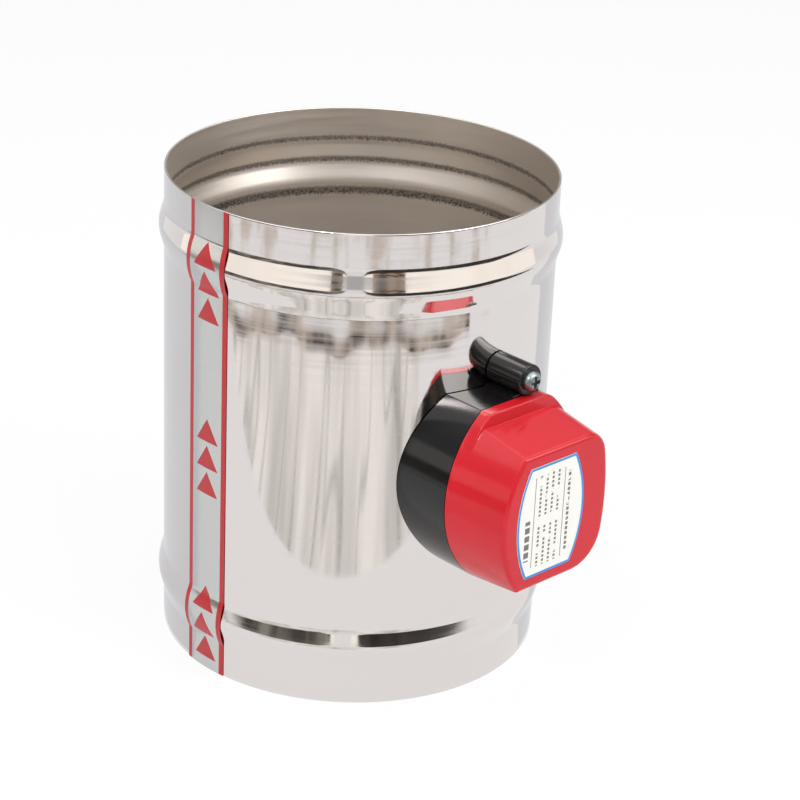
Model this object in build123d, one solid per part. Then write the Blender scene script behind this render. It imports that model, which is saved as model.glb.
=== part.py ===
from build123d import *

import math
import os

# Motorised round duct damper: a beaded steel tube, a butterfly blade on a cross shaft, and a
# geared motor actuator seated on the side of the tube.
# Origin on the tube axis at the lower rim, +Z along the airflow, +X along the shaft to the actuator.

# Tube
duct_diameter = 158.0
duct_length = 200.0
duct_wall = 0.8
bead_setback = 24.0
bead_width = 21.0
bead_height = 2.1
bead_blend = 4.0

# Flow direction tape
tape_width = 22.0
tape_thickness = 0.1
tape_adhesive = 0.15

# Clearances
seat_gap = 0.05
bearing_gap = 0.05
running_gap = 0.3
overcut = 1.0

# Pan heads, as shares of the head's own height or diameter
head_round = 0.7
recess_floor = 0.45
recess_half_span = 0.3
recess_half_slot = 0.09

# Edge breaks and mouths, as shares of the piece that has them
bar_chamfer = 0.12
clip_mouth = 0.8
rivet_round = 0.8
plunger_round = 0.25
grub_socket_depth = 0.5
grub_socket_radius = 0.3
terminal_half_slot = 0.12
grommet_round = 0.6

# Shaft, bushings and tail retainer
shaft_diameter = 8.0
bushing_wall = 2.0
bushing_flange_width = 2.5
bushing_flange_thickness = 1.2
washer_width = 3.0
washer_thickness = 0.8
clip_width = 2.6
clip_thickness = 0.8
clip_groove_depth = 0.9
shaft_tail = 2.0

# Blade
seal_thickness = 2.0
disc_thickness = 1.0
disc_setback = 2.6
saddle_spread = 40.0
saddle_length = 14.0
saddle_thickness = 1.2
saddle_ear = 11.0
rivet_diameter = 4.0
rivet_head_diameter = 7.2
rivet_head_height = 1.4

# Actuator housing
housing_shift = -7.0
housing_drop = 1.7
housing_half_width = 33.3
housing_bulge = 17.3
housing_half_height = 35.3
housing_wall = 2.0
housing_corner = 9.0
ridge_round = 1.0
least_round = 0.6
seam_relief = 0.5
base_depth = 15.7
base_floor = 2.5
cover_depth = 26.3
cover_edge = 1.6
edge_steps = 3
block_drop = 3.7
block_corner = 13.0
front_shift = 1.1
front_drop = 3.5
front_taper = 4.7
front_fall = 6.7
front_left_bulge = 9.9
front_right_bulge = 4.0
front_top_corner = 11.0
front_bottom_corner = 16.0
visor_depth = 5.4
visor_left = 30.0
visor_right = 10.3
lip_thickness = 1.0
lip_height = 3.0

# Mounting bosses and screws
boss_diameter = 12.6
boss_rise = 6.4
boss_shift = 1.0
boss_front = 2.0
boss_round = 0.8
pad_margin = 0.8
pad_height = 1.0
mount_screw_diameter = 4.0
mount_head_diameter = 8.2
mount_head_height = 2.8
mount_screw_reach = 4.0

# Rating label
label_shift = -3.3
label_half_width = 18.2
label_bulge = 5.8
label_margin = 5.3
label_thickness = 0.2

# Geared motor
motor_diameter = 38.0
motor_length = 18.5
motor_shift = 1.0
motor_drop = 2.9
motor_edge = 1.5
motor_plate_thickness = 1.2
motor_plate_stand = 2.1
motor_ear_pitch = 45.0
motor_post_diameter = 5.6
motor_shaft_diameter = 7.0
motor_shaft_reach = 9.0
motor_screw_diameter = 2.5
motor_head_diameter = 5.2
motor_head_height = 2.0
motor_screw_grip = 7.0

# Coupling and cam
sleeve_wall = 2.5
sleeve_stand = 0.6
sleeve_length = 13.0
grub_diameter = 3.0
grub_setback = 1.9
cam_rim = 2.0
cam_lift = 1.8
cam_thickness = 5.0
cam_lobe_angle = 50.0

# Limit switches
switch_length = 19.8
switch_depth = 10.2
switch_thickness = 6.4
switch_edge = 0.6
switch_hole_pitch = 9.5
switch_hole_setback = 2.6
switch_screw_diameter = 2.0
switch_head_diameter = 3.6
switch_head_height = 1.3
switch_post_diameter = 4.4
plunger_width = 2.4
plunger_reach = 1.3
plunger_travel = 0.8
plunger_depth = 3.0
switch_turns = {"closed": 0.0, "open": 90.0}

# Terminal block
terminal_ways = 3
terminal_pitch = 5.2
terminal_depth = 9.0
terminal_height = 10.0
terminal_screw_diameter = 3.2
terminal_screw_length = 5.0
terminal_recess = 1.0
terminal_wire_diameter = 2.8
terminal_wire_height = 3.0
terminal_post_diameter = 5.0
terminal_margin = 1.5
terminal_drop = 7.5

# Cable inlet
grommet_bore = 5.0
grommet_wall = 1.6
grommet_flange = 2.0
grommet_lip = 1.2

# Derived places
far = 2 * duct_diameter
duct_radius = duct_diameter / 2
inner_radius = duct_radius - duct_wall
shaft_radius = shaft_diameter / 2
shaft_height = duct_length / 2
housing_z = shaft_height - housing_drop
front_half_width = housing_half_width - front_taper
front_half_height = housing_half_height - front_fall
seat_radius = duct_radius + seat_gap
floor_radius = seat_radius + base_floor
parting_x = duct_radius + base_depth
front_x = parting_x + cover_depth
front_y = housing_shift + front_shift
front_z = housing_z - front_drop
bushing_radius = shaft_radius + bearing_gap + bushing_wall
flange_radius = bushing_radius + bushing_flange_width
flange_out = seat_radius + bushing_flange_thickness
sleeve_radius = shaft_radius + sleeve_wall
sleeve_start = floor_radius + sleeve_stand
sleeve_end = sleeve_start + sleeve_length
plate_x = parting_x + motor_plate_stand
motor_y = housing_shift + motor_shift
motor_z = housing_z - motor_drop
motor_tip = plate_x - motor_shaft_reach
drive_end = motor_tip - running_gap
cam_x = (sleeve_start + sleeve_end) / 2
cam_base_radius = sleeve_radius + cam_rim
cam_lobe_radius = cam_base_radius + cam_lift
switch_face = cam_lobe_radius + running_gap + plunger_reach
switch_seat = cam_x - switch_thickness / 2
blade_top = shaft_height - shaft_radius - seat_gap
seal_top = blade_top - disc_thickness
seal_bottom = seal_top - seal_thickness
blade_bottom = seal_bottom - disc_thickness
blade_reach = shaft_height - seal_bottom
seal_radius = math.sqrt((inner_radius - running_gap) ** 2 - blade_reach ** 2)
disc_radius = seal_radius - disc_setback


def rod(start, end, radius, y=0.0, z=shaft_height):
    """A round bar along X from start to end."""
    bar = Cylinder(radius, end - start, align=(Align.CENTER, Align.CENTER, Align.MIN))
    return Pos(start, y, z) * Rot(0, 90, 0) * bar


def block(low, high):
    """A box between two corners."""
    size = [b - a for a, b in zip(low, high)]
    corner = (Align.MIN, Align.MIN, Align.MIN)
    return Pos(*low) * Box(*size, align=corner)


def tube_core(radius):
    """The space inside a cylinder about the tube axis, as tall as the housing needs."""
    return Pos(0, 0, shaft_height) * Cylinder(radius, 2 * duct_length)


def wall_line(offset):
    """The tube's beaded outer line from the lower to the upper rim, moved outwards by offset."""
    half = bead_width / 2
    rise = 2 * math.atan2(bead_height, half)
    root = bead_blend - offset
    edges = []
    last = (duct_radius + offset, 0.0)

    def blend_point(centre, side, angle):
        return (duct_radius + bead_blend - root * math.cos(angle),
                centre - side * (half - root * math.sin(angle)))

    for centre in (bead_setback, duct_length - bead_setback):
        lower = [blend_point(centre, 1, angle) for angle in (0, rise / 2, rise)]
        upper = [blend_point(centre, -1, angle) for angle in (rise, rise / 2, 0)]
        top = (duct_radius + bead_height + offset, centre)
        edges.append(Edge.make_line((last[0], 0, last[1]), (lower[0][0], 0, lower[0][1])))
        for arc in (lower, (lower[2], top, upper[0]), upper):
            edges.append(Edge.make_three_point_arc(*[(r, 0, z) for r, z in arc]))
        last = upper[2]
    edges.append(Edge.make_line((last[0], 0, last[1]), (last[0], 0, duct_length)))
    return edges


def wall_section(inside, outside):
    """The face between two offsets of the tube's line, in the XZ plane."""
    inner = wall_line(inside)
    outer = wall_line(outside)
    ends = [
        Edge.make_line(inner[0] @ 0, outer[0] @ 0),
        Edge.make_line(inner[-1] @ 1, outer[-1] @ 1),
    ]
    return Face(Wire(inner + outer + ends))


def barrel(x, y, z, half_width, half_height, bulges, corners, inset=0.0, drop=0.0):
    """A face across X with bulged sides, drawn in by inset, its flat top lowered by drop."""
    low = half_height - inset
    high = low - drop
    sides = []
    for bulge in bulges:
        side_radius = (half_height ** 2 + bulge ** 2) / (2 * bulge) - inset
        hub = half_width - inset - side_radius
        sides.append([hub + math.sqrt(side_radius ** 2 - up ** 2) for up in (high, 0, low)])
    left, right = sides
    spots = [(-left[0], high), (right[0], high), (right[1], 0),
             (right[2], -low), (-left[2], -low), (-left[1], 0)]
    a, b, c, d, e, f = [(x, y + across, z + up) for across, up in spots]
    face = Face(Wire([
        Edge.make_line(a, b),
        Edge.make_three_point_arc(b, c, d),
        Edge.make_line(d, e),
        Edge.make_three_point_arc(e, f, a),
    ]))
    top_corner, bottom_corner = corners
    for spot, corner in ((a, ridge_round), (b, top_corner), (d, bottom_corner), (e, ridge_round)):
        vertex = face.vertices().sort_by_distance(spot)[0]
        face = face.fillet_2d(max(corner - inset, least_round), [vertex])
    return face


def housing_face(x, inset=0.0):
    """The outline where base and cover meet."""
    return barrel(x, housing_shift, housing_z, housing_half_width, housing_half_height,
                  (housing_bulge, housing_bulge), (housing_corner, housing_corner), inset)


def block_face(x, inset=0.0):
    """The back of the cover's block, lower than the housing by the thickness of the visor."""
    return barrel(x, housing_shift, housing_z, housing_half_width, housing_half_height,
                  (housing_bulge, housing_bulge), (block_corner, housing_corner), inset, block_drop)


def front_face(x, inset=0.0):
    """The front of the cover's block."""
    return barrel(x, front_y, front_z, front_half_width, front_half_height,
                  (front_left_bulge, front_right_bulge), (front_top_corner, front_bottom_corner), inset)


def along_x(face, length):
    return extrude(face, amount=length, dir=(1, 0, 0))


def pan_screw(head_x, y, z, diameter, length, head_diameter, head_height):
    """A cross-recess pan head screw along X, its head seated at head_x and its tip towards -X."""
    head = rod(head_x, head_x + head_height, head_diameter / 2, y, z)
    rim = head.edges().sort_by(Axis.X)[-1]
    head = fillet(rim, head_height * head_round)
    shank = rod(head_x - length, head_x, diameter / 2, y, z)
    arm = head_diameter * recess_half_span
    slot = head_diameter * recess_half_slot
    sunk = head_x + head_height * recess_floor
    crown = head_x + head_height + seat_gap
    cross = block((sunk, y - arm, z - slot), (crown, y + arm, z + slot))
    cross += block((sunk, y - slot, z - arm), (crown, y + slot, z + arm))
    return head + shank - cross


def make_duct():
    tube = revolve(wall_section(-duct_wall, 0.0), Axis.Z)
    tube -= rod(-far, far, bushing_radius + seat_gap)
    for z in boss_heights():
        tube -= rod(0, far, mount_screw_diameter / 2 + seat_gap, boss_shift, z)
    return tube


def make_tape():
    angle = math.degrees(tape_width / duct_radius)
    strip = Rot(0, 0, -90 - angle / 2) * wall_section(tape_adhesive, tape_adhesive + tape_thickness)
    return revolve(strip, Axis.Z, revolution_arc=angle)


def make_bushing(side):
    body = rod(inner_radius, flange_out, bushing_radius)
    body += rod(seat_radius, flange_out, flange_radius)
    body -= rod(0, far, shaft_radius + bearing_gap)
    return body if side > 0 else mirror(body, Plane.YZ)


def boss_heights():
    reach = housing_half_height + boss_rise
    return housing_z + reach, housing_z - reach


def clip_face():
    return flange_out + seat_gap + washer_thickness + running_gap


def make_shaft():
    tail = clip_face() + clip_thickness + shaft_tail
    bar = rod(-tail, drive_end, shaft_radius)
    bar = chamfer(bar.edges().filter_by(GeomType.CIRCLE), shaft_radius * bar_chamfer)
    groove = rod(-clip_face() - clip_thickness - seat_gap, -clip_face() + seat_gap, shaft_diameter)
    groove -= rod(-tail, 0, shaft_radius - clip_groove_depth)
    return bar - groove


def make_washer():
    start = -flange_out - seat_gap - washer_thickness
    ring = rod(start, start + washer_thickness, shaft_radius + seat_gap + washer_width)
    return ring - rod(-far, 0, shaft_radius + seat_gap)


def make_clip():
    bore = shaft_radius - clip_groove_depth + seat_gap
    start = -clip_face() - clip_thickness
    ring = rod(start, start + clip_thickness, bore + clip_width)
    ring -= rod(-far, 0, bore)
    mouth = bore * clip_mouth
    low = (start - clip_thickness, -mouth, shaft_height - 2 * shaft_diameter)
    return ring - block(low, (start + 2 * clip_thickness, mouth, shaft_height))


def make_disc(bottom, thickness, radius):
    disc = Cylinder(radius, thickness, align=(Align.CENTER, Align.CENTER, Align.MIN))
    disc = Pos(0, 0, bottom) * disc
    for x, y in rivet_places():
        disc -= Pos(x, y, bottom) * Cylinder(rivet_diameter / 2 + seat_gap, 4 * thickness)
    return disc


def rivet_places():
    across = shaft_radius + saddle_thickness + saddle_ear / 2
    return [(x, y) for x in (-saddle_spread, saddle_spread) for y in (-across, across)]


def make_saddle(x):
    start = x - saddle_length / 2
    end = x + saddle_length / 2
    bore = shaft_radius + seat_gap
    skin = bore + saddle_thickness
    ear = skin + saddle_ear
    strap = rod(start, end, skin) + block((start, -skin, blade_top), (end, skin, shaft_height))
    strap -= block((start, -skin, 0), (end, skin, blade_top))
    strap += block((start, -ear, blade_top), (end, ear, blade_top + saddle_thickness))
    strap -= rod(start - overcut, end + overcut, bore)
    strap -= block((start - overcut, -bore, 0), (end + overcut, bore, shaft_height))
    for place in rivet_places():
        strap -= Pos(*place, blade_top) * Cylinder(rivet_diameter / 2 + seat_gap, 4 * saddle_thickness)
    return strap


def make_rivet(x, y):
    low = blade_bottom - seat_gap
    high = blade_top + saddle_thickness + seat_gap
    base = (Align.CENTER, Align.CENTER, Align.MIN)
    shank = Pos(x, y, low) * Cylinder(rivet_diameter / 2, high - low, align=base)
    head = Cylinder(rivet_head_diameter / 2, rivet_head_height, align=base)
    head = fillet(head.edges().sort_by(Axis.Z)[-1], rivet_head_height * rivet_round)
    return shank + Pos(x, y, high) * head + Pos(x, y, low) * Rot(180, 0, 0) * head


def switch_frame(turn):
    """Turns a switch modelled on the -Y side of the shaft about the shaft axis."""
    return Pos(0, 0, shaft_height) * Rot(turn, 0, 0)


def switch_holes():
    inset = switch_face + switch_depth - switch_hole_setback
    return [(-inset, up) for up in (-switch_hole_pitch / 2, switch_hole_pitch / 2)]


def make_switch(turn):
    low = (switch_seat, -switch_face - switch_depth, -switch_length / 2)
    high = (switch_seat + switch_thickness, -switch_face, switch_length / 2)
    body = block(low, high)
    body = chamfer(body.edges().filter_by(Axis.X), switch_edge)
    for y, z in switch_holes():
        body -= rod(0, far, switch_screw_diameter / 2 + seat_gap, y, z)
    body -= plunger_shape(bearing_gap, plunger_travel + bearing_gap)
    return switch_frame(turn) * body


def plunger_shape(gap, spare):
    """The plunger at its full reach, or with a gap its guide, deeper by spare."""
    half = plunger_width / 2 + gap
    low = (cam_x - half, -switch_face - plunger_depth - spare, -half)
    return block(low, (cam_x + half, -switch_face + plunger_reach, half))


def make_plunger(turn):
    tip = plunger_shape(0.0, 0.0)
    nose = tip.faces().sort_by(Axis.Y)[-1].edges()
    return switch_frame(turn) * fillet(nose, plunger_width * plunger_round)


def make_switch_screws():
    head_x = switch_seat + switch_thickness + seat_gap
    length = switch_thickness + switch_seat - floor_radius
    screws = []
    for turn in switch_turns.values():
        for y, z in switch_holes():
            screw = pan_screw(head_x, y, z, switch_screw_diameter, length,
                              switch_head_diameter, switch_head_height)
            screws.append(switch_frame(turn) * screw)
    return Compound(children=screws)


def motor_ears():
    return [(motor_y, motor_z + up) for up in (-motor_ear_pitch / 2, motor_ear_pitch / 2)]


def make_motor():
    start = plate_x + motor_plate_thickness
    can = rod(start, start + motor_length, motor_diameter / 2, motor_y, motor_z)
    can = fillet(can.edges().sort_by(Axis.X)[-1], motor_edge)
    shaft = motor_shaft_diameter / 2
    can += rod(plate_x - seat_gap, start, shaft + sleeve_wall)
    return can - rod(0, start + motor_shaft_diameter, shaft + bearing_gap)


def make_motor_plate():
    end = plate_x + motor_plate_thickness
    plate = rod(plate_x, end, motor_diameter / 2, motor_y, motor_z)
    half = motor_post_diameter / 2
    reach = motor_ear_pitch / 2
    low = (plate_x, motor_y - half, motor_z - reach)
    plate += block(low, (end, motor_y + half, motor_z + reach))
    for y, z in motor_ears():
        plate += rod(plate_x, end, half, y, z)
        plate -= rod(0, far, motor_screw_diameter / 2 + seat_gap, y, z)
    return plate - rod(0, far, motor_shaft_diameter / 2 + sleeve_wall + seat_gap)


def make_motor_screws():
    head_x = plate_x + motor_plate_thickness + seat_gap
    return Compound(children=[
        pan_screw(head_x, y, z, motor_screw_diameter, motor_screw_grip, motor_head_diameter,
                  motor_head_height)
        for y, z in motor_ears()
    ])


def make_motor_shaft():
    end = plate_x + motor_plate_thickness + motor_shaft_diameter - bearing_gap
    bar = rod(motor_tip, end, motor_shaft_diameter / 2)
    return chamfer(bar.edges().filter_by(GeomType.CIRCLE), motor_shaft_diameter / 2 * bar_chamfer)


def grub_places():
    return ((sleeve_start + grub_setback, shaft_radius),
            (sleeve_end - grub_setback, motor_shaft_diameter / 2))


def make_sleeve():
    sleeve = rod(sleeve_start, sleeve_end, sleeve_radius)
    sleeve -= rod(0, motor_tip - running_gap / 2, shaft_radius + seat_gap)
    sleeve -= rod(0, sleeve_end + overcut, motor_shaft_diameter / 2 + seat_gap)
    for x, _ in grub_places():
        hole = Cylinder(grub_diameter / 2 + seat_gap, 2 * sleeve_radius,
                        align=(Align.CENTER, Align.CENTER, Align.MIN))
        sleeve -= Pos(x, 0, shaft_height) * hole
    return sleeve


def make_grubs():
    grubs = []
    for x, bore in grub_places():
        low = bore + 2 * seat_gap
        size = sleeve_radius - low
        grub = Cylinder(grub_diameter / 2, size, align=(Align.CENTER, Align.CENTER, Align.MIN))
        key = RegularPolygon(grub_diameter * grub_socket_radius, 6)
        socket = Pos(0, 0, size * grub_socket_depth) * extrude(key, size)
        grubs.append(Pos(x, 0, shaft_height + low) * (grub - socket))
    return Compound(children=grubs)


def make_cam():
    start = cam_x - cam_thickness / 2
    end = cam_x + cam_thickness / 2
    cam = rod(start, end, cam_lobe_radius)
    half = math.radians(cam_lobe_angle / 2)
    side = 2 * cam_lobe_radius
    wedge = Face(Wire.make_polygon([
        (start, 0, shaft_height),
        (start, -side * math.cos(half), shaft_height + side * math.sin(half)),
        (start, -side * math.cos(half), shaft_height - side * math.sin(half)),
    ]))
    cam &= along_x(wedge, cam_thickness)
    cam += rod(start, end, cam_base_radius)
    return cam - rod(0, far, sleeve_radius + seat_gap)


def terminal_box():
    """Low and high corner of the terminal block, tucked under the top wall of the base."""
    top = housing_z + housing_half_height - housing_wall - lip_thickness - terminal_drop
    left = motor_y + motor_post_diameter / 2 + terminal_margin
    base_x = floor_radius + terminal_margin
    low = (base_x, left, top - terminal_depth)
    return low, (base_x + terminal_height, left + terminal_ways * terminal_pitch, top)


def terminal_centres():
    low, high = terminal_box()
    return [(low[1] + terminal_pitch * (i + 0.5), (low[2] + high[2]) / 2)
            for i in range(terminal_ways)]


def make_terminal_block():
    low, high = terminal_box()
    body = block(low, high)
    wire_x = low[0] + terminal_wire_height
    deep = terminal_recess + terminal_screw_length + seat_gap
    for y, z in terminal_centres():
        body -= rod(high[0] - deep, high[0] + overcut, terminal_screw_diameter / 2 + seat_gap, y, z)
        entry = Cylinder(terminal_wire_diameter / 2, terminal_depth)
        body -= Pos(wire_x, y, low[2]) * entry
    return body


def make_terminal_screws():
    top = terminal_box()[1][0] - terminal_recess
    screws = []
    for y, z in terminal_centres():
        screw = rod(top - terminal_screw_length, top, terminal_screw_diameter / 2, y, z)
        arm = terminal_screw_diameter
        slot = terminal_screw_diameter * terminal_half_slot
        cut = block((top - 2 * slot, y - arm, z - slot), (top + overcut, y + arm, z + slot))
        screws.append(screw - cut)
    return Compound(children=screws)


def grommet_x():
    wall_y = housing_shift + housing_half_width
    tube_x = math.sqrt(floor_radius ** 2 - (wall_y - housing_wall) ** 2)
    return (tube_x + parting_x - lip_height) / 2


def make_grommet():
    """A rubber cable grommet in the +Y side wall, modelled along Z and laid over."""
    bore = grommet_bore / 2
    neck = bore + grommet_wall
    lip = neck + grommet_flange
    outer_y = housing_shift + housing_half_width + seat_gap
    inner_y = housing_shift + housing_half_width - housing_wall - seat_gap
    base = (Align.CENTER, Align.CENTER, Align.MIN)
    span = outer_y - inner_y
    body = Cylinder(neck, span, align=base)
    flange = Cylinder(lip, grommet_lip, align=base)
    outer = Pos(0, 0, span) * fillet(flange.edges().sort_by(Axis.Z)[-1], grommet_lip * grommet_round)
    body += outer + Pos(0, 0, -grommet_lip - lip_sag()) * Cylinder(lip, grommet_lip, align=base)
    body += Pos(0, 0, -lip_sag()) * Cylinder(neck, lip_sag(), align=base)
    body -= Cylinder(bore, 4 * span)
    return Pos(grommet_x(), inner_y, housing_z) * Rot(-90, 0, 0) * body


def lip_sag():
    """How far the curved side wall falls away over half the grommet's flange."""
    side_radius = (housing_half_height ** 2 + housing_bulge ** 2) / (2 * housing_bulge) - housing_wall
    lip = grommet_bore / 2 + grommet_wall + grommet_flange
    return side_radius - math.sqrt(side_radius ** 2 - lip ** 2)


def make_boss(z, towards):
    """A round boss that lies on a thin pad on the flat of the base."""
    half = boss_diameter / 2 + pad_margin
    boss = rod(0, parting_x + boss_front, boss_diameter / 2, boss_shift, z)
    boss = fillet(boss.edges().sort_by(Axis.X)[-1], boss_round)
    flat = z - towards * boss_rise
    low, high = sorted((flat - towards * housing_wall / 2, flat + towards * pad_height))
    return boss + block((0, boss_shift - half, low), (parting_x, boss_shift + half, high))


def make_base():
    shell = along_x(housing_face(0), parting_x)
    top, bottom = boss_heights()
    shell += make_boss(top, 1)
    shell += make_boss(bottom, -1)
    cavity = along_x(housing_face(0, housing_wall), parting_x) - tube_core(floor_radius)
    shell -= cavity
    shell += make_posts()
    shell -= tube_core(seat_radius)
    relief = tube_core(seat_radius + seam_relief) - along_x(housing_face(0, seam_relief), parting_x)
    for z in (top, bottom):
        relief -= rod(0, far, boss_diameter / 2 - seam_relief, boss_shift, z)
    shell -= relief
    shell -= rod(0, far, flange_radius + running_gap)
    for z in (top, bottom):
        shell -= rod(0, far, mount_screw_diameter / 2 + seat_gap, boss_shift, z)
    for y, z in motor_ears():
        start = plate_x - motor_screw_grip
        shell -= rod(start, plate_x + overcut, motor_screw_diameter / 2 + seat_gap, y, z)
    for turn in switch_turns.values():
        for y, z in switch_holes():
            pilot = rod(floor_radius - seat_gap, switch_seat + overcut,
                        switch_screw_diameter / 2 + seat_gap, y, z)
            shell -= switch_frame(turn) * pilot
    hole = Cylinder(grommet_bore / 2 + grommet_wall + seat_gap, 3 * housing_wall)
    wall_y = housing_shift + housing_half_width
    shell -= Pos(grommet_x(), wall_y, housing_z) * Rot(90, 0, 0) * hole
    return shell.solids().sort_by(SortBy.VOLUME)[-1]


def make_posts():
    """Posts that rise from the base floor under the motor plate, the switches and the terminals."""
    posts = Part()
    for y, z in motor_ears():
        posts += rod(0, plate_x - seat_gap, motor_post_diameter / 2, y, z)
    for turn in switch_turns.values():
        for y, z in switch_holes():
            post = rod(0, switch_seat - seat_gap, switch_post_diameter / 2, y, z)
            posts += switch_frame(turn) * post
    seat_x = terminal_box()[0][0] - seat_gap
    for y, z in (terminal_centres()[0], terminal_centres()[-1]):
        posts += rod(0, seat_x, terminal_post_diameter / 2, y, z)
    return posts


def make_cover():
    start = parting_x + seat_gap
    sections = [block_face(start)]
    for step in range(edge_steps + 1):
        angle = math.pi / 2 * step / edge_steps
        back = cover_edge * (1 - math.sin(angle))
        sections.append(front_face(front_x - back, cover_edge * (1 - math.cos(angle))))
    shell = loft(sections, ruled=True)
    shell += make_visor(start)
    cavity = loft([block_face(start, housing_wall), front_face(front_x - housing_wall, housing_wall)],
                  ruled=True)
    shell -= cavity
    outside = housing_wall + 2 * seat_gap
    inside = outside + lip_thickness
    shell += lip_band(start, housing_wall / 2, inside)
    return shell + lip_band(start - lip_height, outside, inside)


def lip_band(x, outside, inside):
    """A band between two insets of the housing outline, as deep as the lip is high."""
    return along_x(housing_face(x, outside), lip_height) - along_x(housing_face(x, inside), lip_height)


def make_visor(start):
    """The ledge over the front block, full on the flat and fading out down both sides."""
    reach = 2 * housing_half_width
    up = 2 * housing_half_height
    ledge = along_x(housing_face(start), visor_depth)
    spots = [(-reach, visor_left), (0, visor_left), (reach, visor_right), (reach, up), (-reach, up)]
    keep = Face(Wire.make_polygon([(start, housing_shift + y, housing_z + z) for y, z in spots]))
    return ledge & along_x(keep, visor_depth)


def make_label():
    start = front_x + seat_gap
    face = barrel(start, front_y + label_shift, front_z, label_half_width, front_half_height - label_margin,
                  (label_bulge, label_bulge), (ridge_round, ridge_round))
    return along_x(face, label_thickness)


def make_mount_screws():
    head_x = parting_x + boss_front + seat_gap
    length = head_x - inner_radius + mount_screw_reach
    return Compound(children=[
        pan_screw(head_x, boss_shift, z, mount_screw_diameter, length, mount_head_diameter,
                  mount_head_height)
        for z in boss_heights()
    ])


parts = {
    "duct_body": make_duct(),
    "flow_tape": make_tape(),
    "drive_bushing": make_bushing(1),
    "tail_bushing": make_bushing(-1),
    "damper_shaft": make_shaft(),
    "tail_washer": make_washer(),
    "tail_clip": make_clip(),
    "blade_upper_disc": make_disc(seal_top, disc_thickness, disc_radius),
    "blade_seal": make_disc(seal_bottom, seal_thickness, seal_radius),
    "blade_lower_disc": make_disc(blade_bottom, disc_thickness, disc_radius),
    "shaft_saddles": Compound(children=[make_saddle(x) for x in (-saddle_spread, saddle_spread)]),
    "saddle_rivets": Compound(children=[make_rivet(*place) for place in rivet_places()]),
    "actuator_base": make_base(),
    "actuator_cover": make_cover(),
    "rating_label": make_label(),
    "mounting_screws": make_mount_screws(),
    "gear_motor": make_motor(),
    "motor_plate": make_motor_plate(),
    "motor_screws": make_motor_screws(),
    "motor_shaft": make_motor_shaft(),
    "coupling_sleeve": make_sleeve(),
    "coupling_grub_screws": make_grubs(),
    "switch_cam": make_cam(),
    "switch_screws": make_switch_screws(),
    "terminal_block": make_terminal_block(),
    "terminal_screws": make_terminal_screws(),
    "cable_grommet": make_grommet(),
}
for state, turn in switch_turns.items():
    parts[f"{state}_limit_switch"] = make_switch(turn)
    parts[f"{state}_switch_plunger"] = make_plunger(turn)

os.makedirs("parts", exist_ok=True)
for name, shape in parts.items():
    export_step(shape, f"parts/{name}.step")
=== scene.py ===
import math

import bmesh
import bpy
from bpy.props import FloatProperty, FloatVectorProperty, IntProperty, PointerProperty
from mathutils import Matrix, Vector


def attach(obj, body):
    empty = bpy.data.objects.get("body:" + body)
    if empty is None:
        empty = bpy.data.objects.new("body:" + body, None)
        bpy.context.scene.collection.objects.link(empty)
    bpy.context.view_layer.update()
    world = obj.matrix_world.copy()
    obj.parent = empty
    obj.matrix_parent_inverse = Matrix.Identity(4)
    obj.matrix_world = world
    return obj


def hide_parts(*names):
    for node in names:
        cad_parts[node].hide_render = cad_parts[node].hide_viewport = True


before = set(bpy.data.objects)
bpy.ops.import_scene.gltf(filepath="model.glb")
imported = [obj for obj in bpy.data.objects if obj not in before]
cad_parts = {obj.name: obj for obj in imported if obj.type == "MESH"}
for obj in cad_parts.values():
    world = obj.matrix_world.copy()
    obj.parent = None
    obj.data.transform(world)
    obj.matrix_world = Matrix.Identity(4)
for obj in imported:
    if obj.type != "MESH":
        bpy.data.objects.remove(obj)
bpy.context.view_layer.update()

bl_info = {
    "name": "Duct Damper Finish",
    "version": (1, 0, 0),
    "blender": (4, 5, 0),
    "location": "View3D > Sidebar > Damper",
    "description": "Polished tube, printed tape, moulded actuator and studio for a motorised duct damper",
    "category": "Object",
}

MM = 0.001
PICTURE = 800.0
SENSOR = 36.0
LEAST_ROUND = 0.3 * MM
FILM_EDGE = 0.05 * MM
SLIVER = 0.01 * MM
# Sockets of a colour Mix node
FACTOR, FIRST, SECOND, MIXED = 0, 6, 7, 2
# Nearly all of a noise pattern lies between these
NOISE_LOW, NOISE_HIGH = 0.3, 0.7
PLASTIC_IOR = 1.42
FLOW_MARK_MM = 30.0
# Painted shade inside each bead, dark and speckled, along its creases: distance from the tube's middle,
# reach, depth
BEAD_SHADE_MM = ((86.8, 1.2, 0.85), (76.6, 1.4, 0.8), (63.0, 2.2, 1.0))
# How ragged the edges of the painted bead shade are
BEAD_SHADE_RAGGED_MM = 1.4
# Print on the label: across, half across, up, half up, dash, gap, and the noise level left blank
LABEL_COLUMNS_MM = ((-12.6, 1.3, -7.0, 8.6, 2.5, 1.0, 0.0), (-9.4, 0.18, 0.0, 19.0, 40.0, 0.0, 0.0),
                    (-6.4, 0.55, 10.6, 8.6, 1.1, 0.7, 0.42), (-3.2, 0.55, 10.6, 8.6, 1.1, 0.7, 0.44),
                    (0.0, 0.55, 10.6, 8.6, 1.1, 0.7, 0.40), (3.2, 0.55, 10.6, 8.6, 1.1, 0.7, 0.43),
                    (-6.4, 0.55, -10.6, 8.6, 1.1, 0.7, 0.42), (-3.2, 0.55, -10.6, 8.6, 1.1, 0.7, 0.40),
                    (0.0, 0.55, -10.6, 8.6, 1.1, 0.7, 0.44), (3.2, 0.55, -10.6, 8.6, 1.1, 0.7, 0.42),
                    (6.6, 0.18, 0.0, 19.0, 40.0, 0.0, 0.0), (9.2, 0.7, 0.0, 17.0, 1.4, 0.7, 0.40))

# Lamps: turn from the camera and rise in degrees, size in metres
LAMPS = {"key": (-22.0, 45.0, 0.2), "side": (63.0, 45.0, 0.6), "top": (0.0, 80.0, 3.2)}
FLOOR_GLOW = 0.85
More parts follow.
